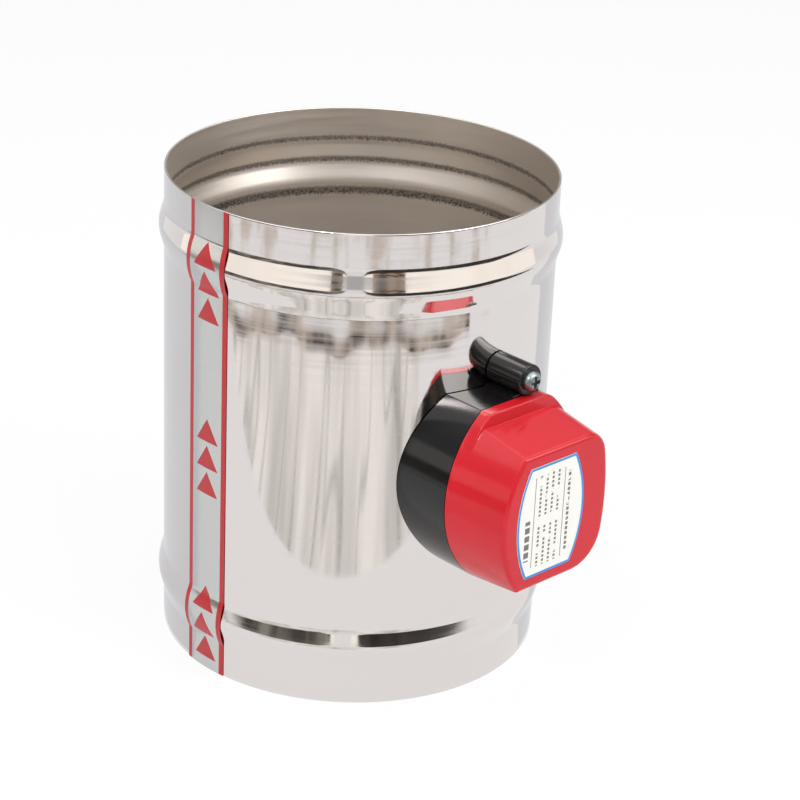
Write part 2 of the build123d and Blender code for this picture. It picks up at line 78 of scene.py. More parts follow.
# Card finishes: name, dark and light colours, patch in millimetres, noise levels, strength
TABLE_EDGE = ("table_edge", "#4a3f35", "#c9bdae", 60.0, 0.4, 0.6)
GREY_CARD = ("grey_flag", "#e2e4e8", "#e8e9ec", 300.0, 0.3, 0.7)
PAPER = ("creased_paper", "#dcd2c8", "#ffffff", 90.0, 0.5, 0.62)
LEFT_FLAG = ("flag", "#4f4a46", "#a39d94", 110.0, 0.35, 0.6)
RIGHT_FLAG = ("flag", "#332f2d", "#4b4744", 110.0, 0.35, 0.6)
WINDOW = ("window", "#fffaf2", "#f2ece2", 400.0, 0.3, 0.6, 1.3)
POST = ("window_post", "#4a3d33", "#b09a86", 60.0, 0.4, 0.6)
SOFTBOX = ("softbox", "#ffffff", "#f4f1ea", 300.0, 0.3, 0.6, 5.0)
# Upright cards: finish, start and end turn from the camera, radius, bottom and top in millimetres
UPRIGHT_CARDS = {"window_card_0": (WINDOW, -112.0, -6.5, 900.0, 50.0, 330.0),
                 "window_card_1": (WINDOW, 108.0, 2.5, 900.0, 50.0, 330.0),
                 "post_card_0": (POST, -14.5, -8.5, 880.0, 50.0, 330.0),
                 "post_card_1": (POST, 7.0, 24.0, 880.0, 50.0, 330.0),
                 "softbox_card": (SOFTBOX, 48.0, 92.0, 1300.0, 470.0, 900.0)}
# Flags under the windows: finish, outer and inner turn, and how they rise at their inner tip
FLAGS = ((LEFT_FLAG, -112.0, -6.5), (RIGHT_FLAG, 108.0, 2.5))
FLAG_RADIUS_MM, FLAG_TOP_MM, FLAG_SLOPE_MM = 650.0, 120.0, 200.0
FLAG_TIP_TURN, FLAG_TIP_MM = math.radians(10.0), (200.0, 150.0)
# Flat cards on the floor
DRAPE_NEAR_MM, DRAPE_FAR_MM, DRAPE_SKEW = 182.0, 436.0, 0.094
EDGE_WIDTH_MM, PAPER_FAR_MM = 27.0, 640.0
BACK_TURNS, BACK_FAR_MM, BACK_GAP_MM = (math.radians(52.0), math.radians(66.0)), 900.0, 0.5
# Pattern of the drape card's painted fold light and painted crease shade
FOLD_SCALE, CREASE_SCALE, FOLD_WANDER = 6.0, 4.5, (0.4, 0.4, 0.4)


def linear(code):
    """An sRGB hex colour as linear RGBA."""
    shares = [int(code[i:i + 2], 16) / 255 for i in (1, 3, 5)]
    return tuple(s / 12.92 if s <= 0.04045 else ((s + 0.055) / 1.055) ** 2.4 for s in shares) + (1.0,)


def length(name, description, millimetres):
    """A length property, written in millimetres."""
    return FloatProperty(name=name, description=description, default=millimetres * MM,
                         unit="LENGTH", precision=5)


def angle(name, description, degrees):
    """An angle property, written in degrees."""
    return FloatProperty(name=name, description=description, default=math.radians(degrees),
                         subtype="ANGLE")


def colour(name, description, code):
    """A colour property, written as an sRGB hex value."""
    return FloatVectorProperty(name=name, description=description, default=linear(code),
                               size=4, min=0.0, max=1.0, subtype="COLOR")


class DamperTube(bpy.types.PropertyGroup):
    """Sizes and steel of the rolled tube"""
    diameter: length("Diameter", "Outside of the plain wall", 158.0)
    height: length("Height", "From rim to rim", 200.0)
    wall: length("Wall", "Thickness of the sheet", 0.8)
    rim_round: length("Rim round", "Round on the cut edges of the sheet", 0.3)
    bead_setback: length("Bead setback", "From a rim to the middle of its bead", 24.0)
    bead_width: length("Bead width", "Across a bead", 21.0)
    bead_height: length("Bead height", "How far a bead stands out", 2.1)
    bead_blend: length("Bead blend", "Radius where a bead runs into the wall", 12.0)
    bead_flank: angle("Bead flank", "Lean of a bead's straight flanks", 16.0)
    row: length("Row", "Longest mesh row up the plain wall", 2.5)
    spin_steps: IntProperty(name="Spin steps", description="Mesh columns round the tube", default=288)
    shaft_hole: length("Shaft hole", "Radius of the hole for a bushing", 6.1)
    screw_hole: length("Screw hole", "Radius of the hole for a mounting screw", 2.05)
    screw_across: length("Screw across", "Mounting screws, across the shaft", 1.0)
    screw_high: length("Screw high", "Height of the upper mounting screw", 140.0)
    screw_low: length("Screw low", "Height of the lower mounting screw", 56.6)
    outside: colour("Outside", "Mirror polished sheet", "#dbd6d4")
    inside: colour("Inside", "Mill finished sheet", "#e4dcd4")


class DamperTape(bpy.types.PropertyGroup):
    """Print of the flow direction tape"""
    width: length("Width", "Across the film", 22.0)
    radius: length("Radius", "Tube radius that the film follows", 79.2)
    line: length("Line", "Width of the printed edge lines", 2.4)
    arrow_width: length("Arrow width", "Base of an arrowhead", 12.8)
    arrow_height: length("Arrow height", "From an arrowhead's base to its tip", 9.9)
    arrow_pitch: length("Arrow pitch", "From one arrowhead to the next", 11.5)
    arrow_shift: length("Arrow shift", "How far the arrowheads sit off the middle", 0.4)
    group_pitch: length("Group pitch", "From one group of arrowheads to the next", 74.0)
    group_start: length("Group start", "Height of the lowest arrowhead's base", 4.9)
    group_count: IntProperty(name="Group count", description="Arrowheads in a group", default=3)
    film: colour("Film", "Silver film", "#c4c4c3")
    ink: colour("Ink", "Red print", "#b81d23")


class DamperCover(bpy.types.PropertyGroup):
    """Sizes and plastic of the actuator cover"""
    start: length("Start", "Where the cover meets the base, from the tube axis", 94.75)
    front: length("Front", "Front face, from the tube axis", 121.0)
    wall: length("Wall", "Thickness of the moulding", 2.0)
    edge: length("Edge", "Round of the front edge", 2.0)
    ridge: length("Ridge", "Round of the left ridges at the back", 1.0)
    block_ridge: length("Block ridge", "Round of the left ridges along the block", 1.6)
    back_corner: length("Back corner", "Round of the right corners at the back", 9.0)
    block_corner: length("Block corner", "Round of the block's upper right corner under the visor", 13.0)
    front_top_corner: length("Front top corner", "Round of the upper right corner at the front", 11.0)
    front_bottom_corner: length("Front bottom corner", "Round of the lower right corner at the front", 16.0)
    back_across: length("Back across", "Middle of the back, across the shaft", -7.0)
    back_up: length("Back up", "Height of the middle of the back", 98.3)
    back_half_width: length("Back half width", "Half the width at the back", 33.3)
    back_half_height: length("Back half height", "Half the height at the back", 35.3)
    back_bulge: length("Back bulge", "How far the sides bulge at the back", 17.3)
    block_drop: length("Block drop", "How far the block's top lies under the visor's top", 3.7)
    front_across: length("Front across", "Middle of the front, across the shaft", -5.9)
    front_up: length("Front up", "Height of the middle of the front", 94.8)
    front_half_width: length("Front half width", "Half the width at the front", 28.6)
    front_half_height: length("Front half height", "Half the height at the front", 28.6)
    front_left_bulge: length("Front left bulge", "Bulge of the left side at the front", 9.9)
    front_right_bulge: length("Front right bulge", "Bulge of the right side at the front", 4.0)
    visor_depth: length("Visor depth", "How far the ledge reaches over the block", 5.4)
    visor_left: length("Visor left", "Height where the ledge ends on the left", 30.0)
    visor_right: length("Visor right", "Height that the ledge falls to on the right", 10.3)
    visor_edge: length("Visor edge", "Round of the ledge", 0.7)
    visor_root: length("Visor root", "Hollow where the ledge meets the block", 0.6)
    rim_edge: length("Rim edge", "Round where the cover meets the base", 0.35)
    lip_gap: length("Lip gap", "Room between the lip and the base", 0.1)
    lip_wall: length("Lip wall", "Thickness of the lip", 1.0)
    lip_height: length("Lip height", "How far the lip reaches into the base", 3.0)
    red: colour("Red", "Gloss red plastic", "#cf1f2b")
    black: colour("Black", "Gloss black plastic", "#161515")


class DamperLabel(bpy.types.PropertyGroup):
    """Sizes and print of the rating label"""
    stand: length("Stand", "Back of the film in front of the cover", 0.05)
    thickness: length("Thickness", "Thickness of the film", 0.2)
    across: length("Across", "Middle of the label, across the shaft", -9.2)
    half_width: length("Half width", "Half the width of the film", 18.2)
    half_height: length("Half height", "Half the height of the film", 23.3)
    bulge: length("Bulge", "How far the sides bulge", 5.8)
    corner: length("Corner", "Round of the corners", 0.8)
    border: length("Border", "Width of the printed border", 1.1)
    film: colour("Film", "White film", "#f5f3ed")
    blue: colour("Blue", "Blue print", "#2f8fd6")
    grey: colour("Grey", "Grey print", "#6d6b68")


class DamperStage(bpy.types.PropertyGroup):
    """Camera and studio"""
    azimuth: angle("Azimuth", "Turn of the camera round the tube", 47.0)
    elevation: angle("Elevation", "Camera above the horizon", 23.947)
    roll: angle("Roll", "Turn of the camera about its own axis", 2.061)
    distance: length("Distance", "From the target to the camera", 992.75)
    target: length("Target", "Height of the target on the tube axis", 100.2)
    target_x: FloatProperty(name="Target x", description="Picture column of the target", default=355.07)
    target_y: FloatProperty(name="Target y", description="Picture row of the target", default=396.70)
    lens: length("Lens", "Focal length", 107.61)
    floor_size: length("Floor size", "Side of the floor", 9000.0)
    ambient: FloatProperty(name="Ambient", description="Light from all round", default=0.39)
    horizon: FloatProperty(name="Horizon", description="Mirrored brightness low down", default=0.4)
    overhead: FloatProperty(name="Overhead", description="Mirrored brightness high up", default=0.78)
    lamp_distance: length("Lamp distance", "From the tube to each lamp", 1500.0)
    key_power: FloatProperty(name="Key", description="Power of the key lamp", default=3.5, unit="POWER")
    side_power: FloatProperty(name="Side", description="Power of the side lamp", default=5.0, unit="POWER")
    top_power: FloatProperty(name="Top", description="Power of the top lamp", default=36.0, unit="POWER")


# Mesh helpers

def begin(name, add, **sizes):
    """Adds a primitive with nothing else selected, and names it."""
    bpy.ops.object.select_all(action="DESELECT")
    add(**sizes)
    piece = bpy.context.object
    piece.name = name
    piece.data.name = name
    return piece


def steps(start, end, count):
    """Evenly spaced values from start to end."""
    return [start + (end - start) * i / (count - 1) for i in range(count)]


def arc(centre, radius, start, end, count):
    """Points on an arc, as (across, up)."""
    return [(centre[0] + radius * math.cos(a), centre[1] + radius * math.sin(a))
            for a in steps(start, end, count)]


def apply_modifier(piece, kind, **settings):
    """Adds a modifier and applies it."""
    bpy.context.view_layer.objects.active = piece
    added = piece.modifiers.new(kind.title(), kind)
    for key, value in settings.items():
        setattr(added, key, value)
    bpy.ops.object.modifier_apply(modifier=added.name)


def smooth(piece, degrees):
    """Smooth shading, with edges sharper than the angle kept."""
    bpy.ops.object.select_all(action="DESELECT")
    piece.select_set(True)
    bpy.context.view_layer.objects.active = piece
    bpy.ops.object.shade_smooth_by_angle(angle=math.radians(degrees))


def assign_faces(piece, slot, test):
    """Gives a material slot to the faces that pass a test of their middle and normal."""
    bpy.context.view_layer.objects.active = piece
    bpy.ops.object.mode_set(mode="EDIT")
    bpy.ops.mesh.select_mode(type="FACE")
    bpy.ops.mesh.select_all(action="DESELECT")
    mesh = bmesh.from_edit_mesh(piece.data)
    for face in mesh.faces:
        face.select_set(test(face.calc_center_median(), face.normal))
    bmesh.update_edit_mesh(piece.data)
    piece.active_material_index = slot
    bpy.ops.object.material_slot_assign()
    bpy.ops.object.mode_set(mode="OBJECT")


def extruded_line(name, points):
    """A line of edges in the XZ plane: one vertex, extruded from point to point."""
    piece = begin(name, bpy.ops.mesh.primitive_plane_add, size=2 * MM)
    bpy.ops.object.mode_set(mode="EDIT")
    bpy.ops.mesh.select_all(action="SELECT")
    bpy.ops.mesh.merge(type="CENTER")
    bpy.ops.mesh.select_all(action="SELECT")
    last = (0.0, 0.0)
    for index, point in enumerate(points):
        move = (point[0] - last[0], 0.0, point[1] - last[1])
        if index == 0:
            bpy.ops.transform.translate(value=move)
        else:
            bpy.ops.mesh.extrude_region_move(TRANSFORM_OT_translate={"value": move})
        last = point
    return piece


def lofted(name, rings):
    """A closed skin: a circle set on the first ring, extruded on to each next one, capped at both ends."""
    piece = begin(name, bpy.ops.mesh.primitive_circle_add, vertices=len(rings[0]), radius=MM)
    bpy.ops.object.mode_set(mode="EDIT")
    bpy.ops.mesh.select_mode(type="VERT")
    mesh = bmesh.from_edit_mesh(piece.data)
    number = mesh.verts.layers.int.new("number")
    mesh.verts.ensure_lookup_table()
    for index, vertex in enumerate(mesh.verts):
        vertex[number] = index
    bpy.ops.mesh.select_all(action="SELECT")
    for index, ring in enumerate(rings):
        if index:
            bpy.ops.mesh.extrude_edges_move()
        mesh = bmesh.from_edit_mesh(piece.data)
        number = mesh.verts.layers.int["number"]
        for vertex in mesh.verts:
            if vertex.select:
                vertex.co = ring[vertex[number]]
        bmesh.update_edit_mesh(piece.data)
        if index in (0, len(rings) - 1):
            bpy.ops.mesh.edge_face_add()
    bpy.ops.mesh.select_all(action="SELECT")
    bpy.ops.mesh.normals_make_consistent(inside=False)
    bpy.ops.object.mode_set(mode="OBJECT")
    piece.data.attributes.remove(piece.data.attributes["number"])
    return piece


# Outlines

def rows(tube, start, end):
    """Heights of the mesh rows up a plain stretch of wall, without the last."""
    count = math.ceil(abs(end - start) / tube.row) + 1
    return steps(start, end, count)[:-1]


def wall_line(tube, offset):
    """(radius, height) points up the beaded wall, moved outwards by offset, without its rims."""
    radius = tube.diameter / 2
    half, rise = tube.bead_width / 2, tube.bead_flank
    flank = tube.bead_height / math.tan(rise / 2) - half
    crown = (half - flank * math.cos(rise)) / math.sin(rise) - tube.bead_blend
    root = tube.bead_blend - offset
    low, high = tube.bead_setback, tube.height - tube.bead_setback
    edge = 2 * tube.rim_round
    points = [(radius + offset, z) for z in rows(tube, edge, low - half)]
    for centre in (low, high):
        points += arc((radius + tube.bead_blend, centre - half), root, math.pi, math.pi - rise, 7)
        points += arc((radius + tube.bead_height - crown, centre), crown + offset, -rise, rise, 25)
        points += arc((radius + tube.bead_blend, centre + half), root, math.pi + rise, math.pi, 7)
        if centre == low:
            points += [(radius + offset, z) for z in rows(tube, low + half, high - half)[1:]]
    points += [(radius + offset, z) for z in rows(tube, tube.height - edge, high + half)[::-1]]
    return points


def wall_section(tube):
    """The closed section of the tube wall, with rounded rims."""
    edge = tube.rim_round
    outer = tube.diameter / 2 - edge
    inner = tube.diameter / 2 - tube.wall + edge
    quarter = math.pi / 2
    points = arc((outer, edge), edge, -quarter, 0.0, 5)
    points += wall_line(tube, 0.0)
    points += arc((outer, tube.height - edge), edge, 0.0, quarter, 5)
    points += arc((inner, tube.height - edge), edge, quarter, 2 * quarter, 5)
    points += reversed(wall_line(tube, -tube.wall))
    points += arc((inner, edge), edge, 2 * quarter, 3 * quarter, 5)
    return points + points[:1]


def barrel(half_width, half_height, bulges, corners, inset=0.0, drop=0.0):
    """(across, up) points round a block with bulged sides, its flat top lowered by drop."""
    low = half_height - inset
    high = low - drop
    sides = []
    for bulge, pair in zip(bulges, corners):
        full = (half_height ** 2 + bulge ** 2) / (2 * bulge)
        centre = half_width - full
        radius = full - inset
        ends = []
        for flat, corner in zip((high, low), pair):
            turn = max(corner - inset, LEAST_ROUND)
            hub = centre + math.sqrt((radius - turn) ** 2 - (flat - turn) ** 2)
            ends.append((hub, flat - turn, turn, math.atan2(flat - turn, hub - centre)))
        (hub, rise, turn, lean), (low_hub, fall, low_turn, low_lean) = ends
        side = arc((hub, rise), turn, math.pi / 2, lean, 7)
        side += arc((centre, 0.0), radius, lean, -low_lean, 34)[1:-1]
        side += arc((low_hub, -fall), low_turn, -low_lean, -math.pi / 2, 7)
        sides.append(side)
    left = [(-across, up) for across, up in reversed(sides[0])]
    right = sides[1]
    shares = [i / 13 for i in range(1, 13)]
    bottom = [(right[-1][0] + (left[0][0] - right[-1][0]) * s, -low) for s in shares]
    top = [(left[-1][0] + (right[0][0] - left[-1][0]) * s, high) for s in shares]
    return right + bottom + left + top


def back_ring(cover, x, inset=0.0):
    """The cover's outline where it meets the base, at a distance from the tube axis."""
    spots = barrel(cover.back_half_width, cover.back_half_height, (cover.back_bulge,) * 2,
                   ((cover.ridge,) * 2, (cover.back_corner,) * 2), inset)
    return [Vector((x, cover.back_across + y, cover.back_up + z)) for y, z in spots]


def block_ring(cover, x, inset=0.0):
    """The back of the cover's block, lower than the visor, at a distance from the tube axis."""
    spots = barrel(cover.back_half_width, cover.back_half_height, (cover.back_bulge,) * 2,
                   ((cover.block_ridge,) * 2, (cover.block_corner, cover.back_corner)),
                   inset, cover.block_drop)
    return [Vector((x, cover.back_across + y, cover.back_up + z)) for y, z in spots]


def front_ring(cover, x, inset=0.0):
    """The cover's outline at its front, at a distance from the tube axis."""
    spots = barrel(cover.front_half_width, cover.front_half_height,
                   (cover.front_left_bulge, cover.front_right_bulge),
                   ((cover.block_ridge,) * 2, (cover.front_top_corner, cover.front_bottom_corner)), inset)
    return [Vector((x, cover.front_across + y, cover.front_up + z)) for y, z in spots]


def blended(first, second, x):
    """The ring between two rings of the same skin, at a distance from the tube axis."""
    share = (x - first[0].x) / (second[0].x - first[0].x)
    return [a.lerp(b, share) for a, b in zip(first, second)]


def cover_rings(cover):
    """Rings from the middle of the cavity, out over the lip and the visor to the front face."""
    start, wall = cover.start, cover.wall
    outside = wall + cover.lip_gap
    inside = outside + cover.lip_wall
    lip_end = start - cover.lip_height
    lip_root = start + cover.lip_height
    cavity_front = front_ring(cover, cover.front - wall, wall)
    cavity_back = block_ring(cover, start, wall)
    rings = [cavity_front, blended(cavity_back, cavity_front, lip_root)]
    rings += [back_ring(cover, lip_root, inside), back_ring(cover, lip_end, inside),
              back_ring(cover, lip_end, outside), back_ring(cover, start, outside)]
    rings += [back_ring(cover, start, cover.rim_edge), back_ring(cover, start + cover.rim_edge)]

    outline = back_ring(cover, start)
    block_back = block_ring(cover, start)
    block_front = front_ring(cover, cover.front - cover.edge)
    visor_end = start + cover.visor_depth
    slope = (cover.visor_left - cover.visor_right) / (2 * cover.back_half_width)

    def in_visor(point):
        fall = max(point.y - cover.back_across, 0.0) * slope
        return point.z - cover.back_up > cover.visor_left - fall

    def with_visor(ledge, x):
        block = blended(block_back, block_front, x)
        return [a if in_visor(b) else c for a, b, c in zip(ledge, outline, block)]

    edge, root = cover.visor_edge, cover.visor_root
    rings += [with_visor(back_ring(cover, x), x) for x in steps(start + 2 * edge, visor_end - edge, 3)]
    for turn in steps(0.0, math.pi / 2, 5)[1:]:
        x = visor_end - edge * (1 - math.sin(turn))
        rings.append(with_visor(back_ring(cover, x, edge * (1 - math.cos(turn))), x))
    foot = blended(block_back, block_front, visor_end)
    lowered = [a.lerp(b, 0.75) for a, b in zip(back_ring(cover, visor_end, edge), foot)]
    rings.append(with_visor(lowered, visor_end))
    lowered = [a.lerp(b, 0.93) + Vector((0.25 * root, 0.0, 0.0)) for a, b in zip(lowered, foot)]
    rings.append(with_visor(lowered, visor_end + 0.25 * root))
    rings += [blended(block_back, block_front, x)
              for x in steps(visor_end + root, cover.front - cover.edge, 6)]
    for turn in steps(0.0, math.pi / 2, 7)[1:]:
        rings.append(front_ring(cover, cover.front - cover.edge * (1 - math.sin(turn)),
                                cover.edge * (1 - math.cos(turn))))
    rings.append(front_ring(cover, cover.front, 1.4 * cover.edge))
    return rings


def label_rings(label, cover):
    """Rings from the back of the film over its edge to the inside of the printed border."""
    back = cover.front + label.stand
    front = back + label.thickness
    rings = []
    for x, inset in ((back, 0.0), (front - FILM_EDGE, 0.0), (front, FILM_EDGE), (front, label.border)):
        spots = barrel(label.half_width, label.half_height, (label.bulge,) * 2,
                       ((label.corner,) * 2,) * 2, inset)
        rings.append([Vector((x, label.across + y, cover.front_up + z)) for y, z in spots])
    return rings


# Materials

def node(tree, kind, inputs=None, **settings):
    """Adds a node, sets its properties, and fills its sockets with values, links or nodes' first outputs."""
    made = tree.nodes.new("ShaderNode" + kind)
    for key, value in settings.items():
        setattr(made, key, value)
    for key, value in (inputs or {}).items():
        if isinstance(value, bpy.types.Node):
            value = value.outputs[0]
        if isinstance(value, bpy.types.NodeSocket):
            tree.links.new(value, made.inputs[key])
        else:
            made.inputs[key].default_value = value
    return made


def blank(name):
    """A new material with an empty node tree."""
    made = bpy.data.materials.new(name)
    made.use_nodes = True
    made.node_tree.nodes.clear()
    return made, made.node_tree


def finish_shader(tree, **sockets):
    """Principled shader and output, with the sockets given."""
    inputs = {key.replace("_", " "): value for key, value in sockets.items()}
    shader = node(tree, "BsdfPrincipled", inputs)
    node(tree, "OutputMaterial", {"Surface": shader})


def per_metre(millimetres):
    """The pattern scale that repeats over a real size."""
    return 1.0 / (millimetres * MM)


def shaded(tint, share):
    """A colour made darker by a share."""
    return tuple(c * share for c in tint[:3]) + (1.0,)


def metal(name, tint, roughness, grain_mm, stretch=(1.0, 1.0, 1.0), tone=0.12, gloss=0.1, relief_mm=0.002):
    """A bare metal: one stretched grain, drawn coarse enough to show, turns its tone, gloss and relief."""
    made, tree = blank(name)
    place = node(tree, "TexCoord").outputs["Object"]
    drawn = node(tree, "VectorMath", {0: place, 1: stretch}, operation="MULTIPLY")
    noise = node(tree, "TexNoise", {"Vector": drawn, "Scale": per_metre(grain_mm), "Detail": 4.0})
    grain = node(tree, "MapRange", {"Value": noise, "From Min": NOISE_LOW, "From Max": NOISE_HIGH})
    paint = node(tree, "Mix", {FACTOR: grain, FIRST: shaded(tint, 1 - tone), SECOND: tint},
                 data_type="RGBA").outputs[MIXED]
    rough = node(tree, "MapRange", {"Value": grain, "To Min": roughness + gloss / 2,
                                    "To Max": roughness - gloss / 2})
    relief = node(tree, "Bump", {"Height": grain, "Distance": relief_mm * MM})
    finish_shader(tree, Base_Color=paint, Metallic=1.0, Roughness=rough, Normal=relief)
    return made


def moulded(name, tint, roughness, skin_mm, relief_mm, tone=0.08, gloss=0.06):
    """A moulded plastic: a skin in its relief, drawn coarse enough to show, and a slow drift in its tone
    and gloss."""
    made, tree = blank(name)
    place = node(tree, "TexCoord").outputs["Object"]
    skin = node(tree, "TexNoise", {"Vector": place, "Scale": per_metre(skin_mm), "Detail": 2.0})
    flow = node(tree, "TexNoise", {"Vector": place, "Scale": per_metre(FLOW_MARK_MM), "Detail": 3.0})
    drift = node(tree, "MapRange", {"Value": flow, "From Min": NOISE_LOW, "From Max": NOISE_HIGH})
    paint = node(tree, "Mix", {FACTOR: drift, FIRST: shaded(tint, 1 - tone), SECOND: tint},
                 data_type="RGBA").outputs[MIXED]
    rough = node(tree, "MapRange", {"Value": drift, "To Min": roughness + gloss / 2,
                                    "To Max": roughness - gloss / 2})
    relief = node(tree, "Bump", {"Height": skin, "Distance": relief_mm * MM})
    finish_shader(tree, Base_Color=paint, Roughness=rough, IOR=PLASTIC_IOR, Normal=relief)
    return made


def polished_stainless(tint):
    """Mirror polished stainless sheet: a clear, slightly wavy mirror with faint buffing haze, drawn coarse
    enough to show, round the tube."""
    made, tree = blank("polished_stainless")
    place = node(tree, "TexCoord").outputs["Object"]
    wave = node(tree, "TexNoise", {"Vector": place, "Scale": per_metre(55.0), "Detail": 1.0})
    round_tube = node(tree, "VectorMath", {0: place, 1: (0.02, 0.02, 1.0)}, operation="MULTIPLY")
    buffing = node(tree, "TexNoise", {"Vector": round_tube, "Scale": per_metre(1.6), "Detail": 5.0})
    rough = node(tree, "MapRange", {"Value": buffing, "From Min": 0.35, "From Max": 0.7, "To Min": 0.035,
                                    "To Max": 0.11})
    relief = node(tree, "Bump", {"Height": wave, "Distance": 0.05 * MM})
    finish_shader(tree, Base_Color=tint, Metallic=1.0, Roughness=rough, Normal=relief)
    return made


def mill_stainless(tube):
    """Mill finished stainless sheet: a dull, warm grey with fine lines, drawn coarse enough to show, round
    the tube, and painted shade, dark and speckled, along the edges and the middle of each bead."""
    made, tree = blank("mill_stainless")
    place = node(tree, "TexCoord").outputs["Object"]
    round_tube = node(tree, "VectorMath", {0: place, 1: (0.03, 0.03, 1.0)}, operation="MULTIPLY")
    lines = node(tree, "TexNoise", {"Vector": round_tube, "Scale": per_metre(1.4), "Detail": 3.0})
    speck = node(tree, "TexNoise", {"Vector": place, "Scale": per_metre(0.9), "Detail": 3.0})
    grain = node(tree, "MapRange", {"Value": speck, "From Min": NOISE_LOW, "From Max": NOISE_HIGH})
    height = node(tree, "SeparateXYZ", {0: place}).outputs["Z"]
    middle = node(tree, "Math", {0: height, 1: tube.height / 2}, operation="SUBTRACT")
    out = node(tree, "Math", {0: middle}, operation="ABSOLUTE")
    ragged = node(tree, "MapRange", {"Value": speck, "To Min": -BEAD_SHADE_RAGGED_MM * MM,
                                     "To Max": BEAD_SHADE_RAGGED_MM * MM})
    out = node(tree, "Math", {0: out, 1: ragged}, operation="ADD")
    # Painted shade: bands along the creases at the edges and middle of each bead
    bead_shade = 0.0
    for centre, reach, depth in BEAD_SHADE_MM:
        off = node(tree, "Math", {0: out, 1: centre * MM}, operation="SUBTRACT")
        off = node(tree, "Math", {0: off}, operation="ABSOLUTE")
        shade_band = node(tree, "MapRange", {"Value": off, "From Min": 0.5 * reach * MM, "From Max": reach * MM,
                                       "To Min": depth, "To Max": 0.0})
        bead_shade = node(tree, "Math", {0: bead_shade, 1: shade_band}, operation="MAXIMUM")
    paint = node(tree, "Mix", {FACTOR: lines, FIRST: shaded(tube.inside, 0.9), SECOND: tube.inside},
                 data_type="RGBA").outputs[MIXED]
    pitted = node(tree, "MapRange", {"Value": grain, "To Min": 0.45})
    # Darkens the wall towards near black where the painted bead shade falls, speckled by the grain
    dull = node(tree, "Math", {0: bead_shade, 1: pitted}, operation="MULTIPLY")
    paint = node(tree, "Mix", {FACTOR: dull, FIRST: paint, SECOND: shaded(tube.inside, 0.12)},
                 data_type="RGBA").outputs[MIXED]
    rough = node(tree, "MapRange", {"Value": lines, "From Min": NOISE_LOW, "From Max": NOISE_HIGH,
                                    "To Min": 0.36, "To Max": 0.44})
    relief = node(tree, "Bump", {"Height": grain, "Distance": 0.01 * MM})
    finish_shader(tree, Base_Color=paint, Metallic=1.0, Roughness=rough, Normal=relief)
    return made


def printed_film(tape):
    """Silver polyester tape: a bright, faintly crinkled film with red edge lines and arrowheads."""
    made, tree = blank("printed_silver_film")
    place = node(tree, "TexCoord").outputs["Object"]
    part = node(tree, "SeparateXYZ", {0: place}).outputs
    inward = node(tree, "Math", {0: part["Y"], 1: -1.0}, operation="MULTIPLY")
    turn = node(tree, "Math", {0: part["X"], 1: inward}, operation="ARCTAN2")
    across = node(tree, "Math", {0: turn, 1: tape.radius}, operation="MULTIPLY")

    out = node(tree, "Math", {0: across}, operation="ABSOLUTE")
    line = node(tree, "Math", {0: out, 1: tape.width / 2 - tape.line}, operation="GREATER_THAN")

    climb = node(tree, "Math", {0: part["Z"], 1: tape.group_start}, operation="SUBTRACT")
    in_group = node(tree, "Math", {0: climb, 1: tape.group_pitch}, operation="FLOORED_MODULO")
    in_step = node(tree, "Math", {0: in_group, 1: tape.arrow_pitch}, operation="FLOORED_MODULO")
    counted = node(tree, "Math", {0: in_group, 1: tape.group_count * tape.arrow_pitch},
                   operation="LESS_THAN")
    half = node(tree, "MapRange", {"Value": in_step, "From Max": tape.arrow_height,
                                   "To Min": tape.arrow_width / 2, "To Max": 0.0})
    off = node(tree, "Math", {0: across, 1: tape.arrow_shift}, operation="SUBTRACT")
    off = node(tree, "Math", {0: off}, operation="ABSOLUTE")
    inside = node(tree, "Math", {0: off, 1: half}, operation="LESS_THAN")
    arrow = node(tree, "Math", {0: inside, 1: counted}, operation="MULTIPLY")
    ink = node(tree, "Math", {0: line, 1: arrow}, operation="MAXIMUM")

    paint = node(tree, "Mix", {FACTOR: ink, FIRST: tape.film, SECOND: tape.ink},
                 data_type="RGBA").outputs[MIXED]
    shine = node(tree, "MapRange", {"Value": ink, "To Min": 0.85, "To Max": 0.0})
    rough = node(tree, "MapRange", {"Value": ink, "To Min": 0.16, "To Max": 0.3})
    crinkle = node(tree, "TexNoise", {"Vector": place, "Scale": per_metre(14.0), "Detail": 3.0})
    relief = node(tree, "Bump", {"Height": crinkle, "Distance": 0.06 * MM})
    finish_shader(tree, Base_Color=paint, Metallic=shine, Roughness=rough, Normal=relief)
    return made


